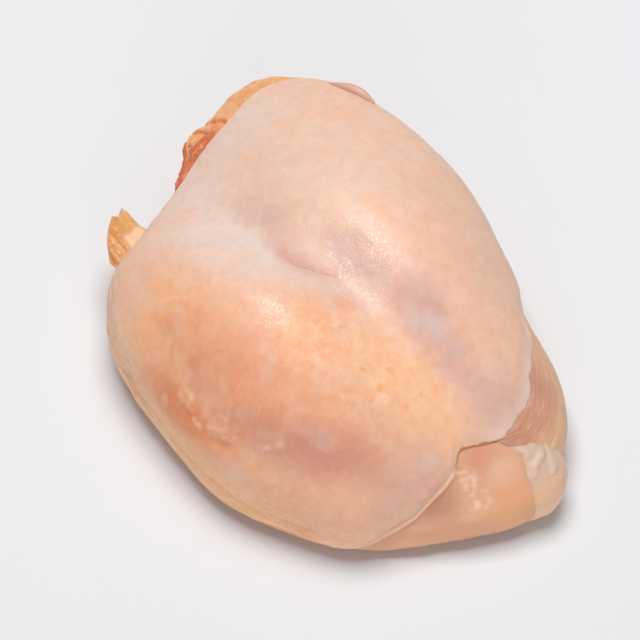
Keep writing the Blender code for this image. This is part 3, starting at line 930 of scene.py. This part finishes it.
def paintFlap(point, around, down):
    patches = (
        ((58, -30, 19), (11, 9, 10), -45, "flapShade", 0.9),  # beside the lip
        ((60, -11, 26), (8, 6, 6), 0, "flapRed", 0.9),
        ((65, -8, 22), (8, 7, 6), 0, "flapPink", 0.7),
        ((72, -10, 18), (6, 5, 6), 0, "flapRose", 0.5),
        ((73, -16, 14), (14, 11, 10), -60, "flapOrange", 0.8),
        ((62, -31, 9), (22, 10, 7), 35, "flapTan", 0.8),
    )
    colour = paintPatches(point, Vector(tones["flap"]), patches)
    colour = lay(colour, "salmon", 0.3 * ramp(uneven(point, 5, 17), 0, 0.8))
    # pale film and bits of white fat near the lip
    broken = 0.85 * ramp(uneven(point, 2.0, 18), -0.3, 0.5)
    films = (
        ((66, -19.5, 19), (5, 4.5, 6), 0, "flapFilm", broken),
        ((61, -18, 23), (4, 3.5, 5), 0, "flapFilm", broken),
        ((57, -19, 25), (2.5, 3, 4), 0, "flapFilm", broken),
    )
    colour = paintPatches(point, colour, films)
    # a pale thread along the lip with painted shade just beyond it, and dark red under the tear, partly
    # torn flesh and partly painted shade in the gap under the lip
    fromEdge = (down - skinReach(around)) * quarterArc
    thread = ramp(around, 346, 342)
    colour = lay(colour, "lipPaintedShade", 0.5 * thread * hump(fromEdge - 2.6, 0.8))
    colour = lay(colour, "lipThread", 0.7 * thread * ramp(fromEdge, 1.9, 1.2))
    tear = ramp(around, 343, 346) * ramp(around, 360, 356)
    return lay(colour, "underTearRedAndShade", 0.85 * hump(fromEdge - 0.3, 1.0) * tear)


makeCap("tailFlap", fleshFinish("flapFinish", 0.18), tailFlap, paintFlap, flapLift)

# the cream fat that caps the end of the flap
fatTip = {
    "cuts": 60,
    "middle": (361, 1.05),
    "halfSpan": (13, 0.55),
    "depth": 7,
    # where it begins on the flap: how far down, and degrees from the tail end
    "flapEdge": ((0.6, 1), (0.75, -2.0), (0.9, -4.2), (1.0, -5.2), (1.25, -6.8)),
    "proud": 0.3,
    "sunk": 0.9,  # how deep its edge dips into the flap
    "aside": 1.6,  # degrees that its form lies past the flap's
    # folds at its upper end: each path in degrees and down, height and half width in millimetres
    "folds": (
        (((4.0, 0.745), (0.8, 0.77), (-1.2, 0.81)), 0.9, 1.4),
        (((7.0, 0.77), (5.0, 0.81), (3.5, 0.85)), 0.7, 1.3),
    ),
}
fatFlapEdge = smoothCurve(fatTip["flapEdge"])


def fatTipLift(around, down):
    angle = fromTail(around)
    lift = flapLift(around - fatTip["aside"], down)
    inFat = ramp(angle - fatFlapEdge(down), -0.6, 3.0)
    lift = lift - fatTip["sunk"] + (fatTip["proud"] + fatTip["sunk"]) * inFat
    for path, height, halfWidth in fatTip["folds"]:
        route = [(a * degreeArc, d * quarterArc) for a, d in path]
        away, _ = nearPath(angle * degreeArc, down * quarterArc, route)
        fold = hump(away, halfWidth) - 0.5 * hump(away - 1.6 * halfWidth, 0.7 * halfWidth)
        lift += height * inFat * fold
    point = overSkin(around, down)
    lift += 0.3 * uneven(point, 2.5, 4) * ramp(down, 0.95, 0.8) * inFat
    return lift + 0.15 * uneven(point, 6, 3)


def paintFatTip(point, around, down):
    # cream, more orange towards the flap, with peach blotches, peach low down and greyer at its upper end
    angle = fromTail(around)
    fromFlap = (angle - fatFlapEdge(down)) * degreeArc
    colour = lay(Vector(tones["fatCream"]), "flap", 0.9 * ramp(fromFlap, 3.5, 0.5))
    colour = lay(colour, "peach", 0.4 * ramp(uneven(point, 5, 19), 0, 0.9))
    colour = lay(colour, "fatPeach", 0.8 * ramp(point.z, 17, 10))
    return lay(colour, "fatGrey", 0.7 * ramp(down, 0.92, 0.8))


makeCap("fatTip", fatFinish("tipFinish", 0.25), fatTip, paintFatTip, fatTipLift)

# the fat that shows beyond the skin along the neck end
neckFat = {
    "cuts": 76,
    "middle": (154, 0.95),
    "halfSpan": (22, 0.36),
    "depth": 6,
    "start": -1.5,
}


def neckGroove(around, down):
    # two grooves in the fat next to the flesh, from 0 beside them to 1 in them
    bend = 1.5 * uneven(Vector((0, down * 18, 0)), 2, 9)
    first = hump(around - 163.2 - 9 * (down - 0.85) - bend, 0.6)
    return max(first, hump(around - 166.6 - 6 * (down - 0.85) - bend, 0.8))


def neckFatLift(around, down):
    edge = skinReach(around)
    fromEdge = (down - edge) * quarterArc
    point = overSkin(around, down, 1.2)
    lift = neckFat["start"] + 1.3 * ramp(fromEdge, 0, 4)
    lift += 0.6 * uneven(point, 8, 5) + 0.4 * uneven(point, 3.5, 6)
    lift += 1.5 * hump(around - 150, 6) * hump(down - 0.95, 0.2)
    lift += 4.0 * hump(around - 169, 4.5) * hump(down - 0.95, 0.2)
    lift -= 0.9 * neckGroove(around, down)
    lift -= 4 * ramp(down, 1.08, 1.26)
    return lift - 3 * ramp(around, 172, 177)


def paintNeckFat(point, around, down):
    fromEdge = (down - skinReach(around)) * quarterArc
    colour = lay(Vector(tones["fatOrange"]), "fatTan", ramp(uneven(point, 5, 20), -0.5, 0.8))
    colour = lay(colour, "wisp", 0.35 * ramp(uneven(point, 2.5, 21), 0.2, 0.9))
    colour = lay(colour, "fatOchre", 0.6 * hump(around - 152.5, 5) * ramp(uneven(point, 4, 28), -0.8, 0.4))
    # red between the folds, and next to the flesh
    red = max(neckGroove(around, down), ramp(around, 161, 167) * ramp(fromEdge, 9, 5))
    return lay(colour, "betweenFat", 0.9 * red)


makeCap("neckFat", fat, neckFat, paintNeckFat, neckFatLift)

# the ragged red flesh beside it
neckFlesh = {
    "cuts": 56,
    "middle": (176, 0.98),
    "halfSpan": (11, 0.3),
    "depth": 6,
}


def neckFleshLift(around, down):
    point = overSkin(around, down, 1.2)
    lift = -0.3 + 3.4 * hump(around - 170, 4) * hump(down - 0.95, 0.2)
    lift += 0.8 * uneven(point, 4, 7) + 0.5 * uneven(point, 1.8, 8)
    lift -= 1.5 * ramp(down, skinReach(around) + 0.05, skinReach(around))
    return lift - 4 * ramp(down, 1.1, 1.26) - 3 * ramp(around, 180, 186) - 3 * ramp(around, 171, 166)


def paintNeckFlesh(point, around, down):
    colour = lay(Vector(tones["redFlesh"]), "brightFlesh", ramp(uneven(point, 2.6, 22), -0.3, 0.8))
    return lay(colour, "fatTan", 0.4 * ramp(uneven(point, 1.6, 23), 0.4, 0.9))


makeCap("neckFlesh", fleshFinish("neckFinish", 0.3), neckFlesh, paintNeckFlesh, neckFleshLift)

# the torn tab at the near shoulder: a sheet of fat and film that lies out from under the skin
shoulderTab = {
    "cuts": 40,
    "base": ((-73, -38, 24), (-74, -29, 26), (-74, -18, 27)),
    "thickness": 2.6,
    # its torn edge: how far along the base, and (x, y) of the edge
    "torn": (
        (0.0, (-82.5, -37)),
        (0.18, (-88.4, -32.4)),
        (0.36, (-92.6, -27.8)),
        (0.52, (-96, -22.6)),
        (0.60, (-93.6, -22)),
        (0.70, (-95.4, -18.6)),
        (0.80, (-92.6, -18.4)),
        (0.92, (-88.2, -19.2)),
        (1.0, (-84.5, -19)),
    ),
    "tornHeight": 26,
    "length": 20,  # along its base, more or less
    "width": 16,  # out to the torn edge
}


def tabRidges(along, out):
    # ridges that run out to the torn edge, from about -1 to 1
    return uneven(Vector((along * shoulderTab["length"], out * 2.2, 0)), 1.6, 25)


def makeShoulderTab(finish):
    measures = shoulderTab
    spine = measures["base"]
    last = len(spine) - 1
    base = [smoothCurve([(i / last, place[axis]) for i, place in enumerate(spine)]) for axis in range(3)]
    shape = bmesh.new()
    bmesh.ops.create_cube(shape, size=2.0)
    bmesh.ops.subdivide_edges(shape, edges=shape.edges[:], cuts=measures["cuts"], use_grid_fill=True)
    grain = shape.verts.layers.float_vector.new("grain")
    for vertex in shape.verts:
        along, out, side = (vertex.co.x + 1) / 2, (vertex.co.y + 1) / 2, vertex.co.z
        torn = measures["torn"]
        before = max(spot for spot in torn[:-1] if spot[0] <= along)
        after = torn[torn.index(before) + 1]
        share = (along - before[0]) / (after[0] - before[0])
        edge = Vector(before[1]).lerp(Vector(after[1]), share)
        waves = 1.2 * uneven(Vector((along * measures["length"], 0, 0)), 4, 24)
        edge = Vector((*edge, measures["tornHeight"] + waves))
        place = Vector([path(along) for path in base]).lerp(edge, out)
        ridges = tabRidges(along, out) * (0.3 + 0.7 * out)
        thickness = measures["thickness"] * (1 - 0.55 * out) * max(1 - abs(vertex.co.x) ** 8, 0.3)
        place.z += side * thickness / 2 + 0.6 * ridges + 1.4 * math.sin(out * math.pi) * (1 - along)
        vertex[grain] = (out * measures["width"], along * measures["length"], 0)
        vertex.co = place
    bmesh.ops.recalc_face_normals(shape, faces=shape.faces[:])

    def paint(vertex):
        out, along = vertex[grain][0] / measures["width"], vertex[grain][1] / measures["length"]
        colour = lay(Vector(tones["tabFat"]), "fatBrown", 0.8 * ramp(along, 0.75, 0.25))
        ridges = tabRidges(along, out)
        colour = lay(colour, "fatCream", 0.5 * ramp(ridges, 0.1, 0.8) + 0.3 * ramp(out, 0.9, 1.0))
        return lay(colour, "tabRoll", 0.9 * ramp(out, 0.62, 0.5) * ramp(along, 0.35, 0.5))

    return finishedPiece("shoulderTab", shape, finish, paint)


makeShoulderTab(fat)

farFlap = {
    "cuts": 30,
    "spine": ((-75, 62.2, 38.3), (-64.5, 64.0, 41.2), (-56, 64.8, 40.3)),
    "halfWidths": (0.8, 1.8, 1.2),
    "halfDepths": (0.8, 1.8, 1.2),
    "roundness": 2.4,  # of its ends: 2 is an ellipse
}
makeStrip("farFlap", fatFinish("farFlapFinish", 0.2), farFlap, plain("paleMauve"))

print("floor and lights")
studio = {
    "floorColour": (0.785, 0.79, 0.81),
    "floorCloud": (0.775, 0.775, 0.79),
    "world": 0.212,
    # each softbox: name, azimuth, elevation, distance, size, power
    "softboxes": (("overhead", 234, 78, 1.4, 0.82, 17.3), ("front", 43, 15, 1.4, 1.0, 6.8)),
}


def makeFloor():
    shape = bmesh.new()
    bmesh.ops.create_grid(shape, x_segments=1, y_segments=1, size=6.0)
    mesh = bpy.data.meshes.new("floor")
    shape.to_mesh(mesh)
    shape.free()
    floor = bpy.data.objects.new("floor", mesh)
    bpy.context.scene.collection.objects.link(floor)
    finish = Finish("floorFinish")
    cloud = finish.between(finish.speckle(160, 2), 0.3, 0.7)
    tone = finish.mix((*studio["floorColour"], 1), (*studio["floorCloud"], 1), cloud * 0.3)
    finish.set(Base_Color=tone, Roughness=0.9)
    finish.set(Specular_IOR_Level=0.1)
    mesh.materials.append(finish.material)


def makeLights():
    world = bpy.data.worlds.new("studio")
    bpy.context.scene.world = world
    world.use_nodes = True
    background = world.node_tree.nodes["Background"]
    background.inputs["Color"].default_value = (1.0, 1.0, 1.0, 1.0)
    background.inputs["Strength"].default_value = studio["world"]
    for name, azimuth, elevation, distance, size, power in studio["softboxes"]:
        softbox = bpy.data.objects.new(name, bpy.data.lights.new(name, "AREA"))
        softbox.data.energy = power
        softbox.data.size = size
        towards = directionAt(azimuth, elevation)
        softbox.location = towards * distance
        softbox.rotation_euler = towards.to_track_quat("Z", "Y").to_euler()
        bpy.context.scene.collection.objects.link(softbox)
    bpy.context.scene.view_settings.view_transform = "Standard"


makeFloor()
makeLights()
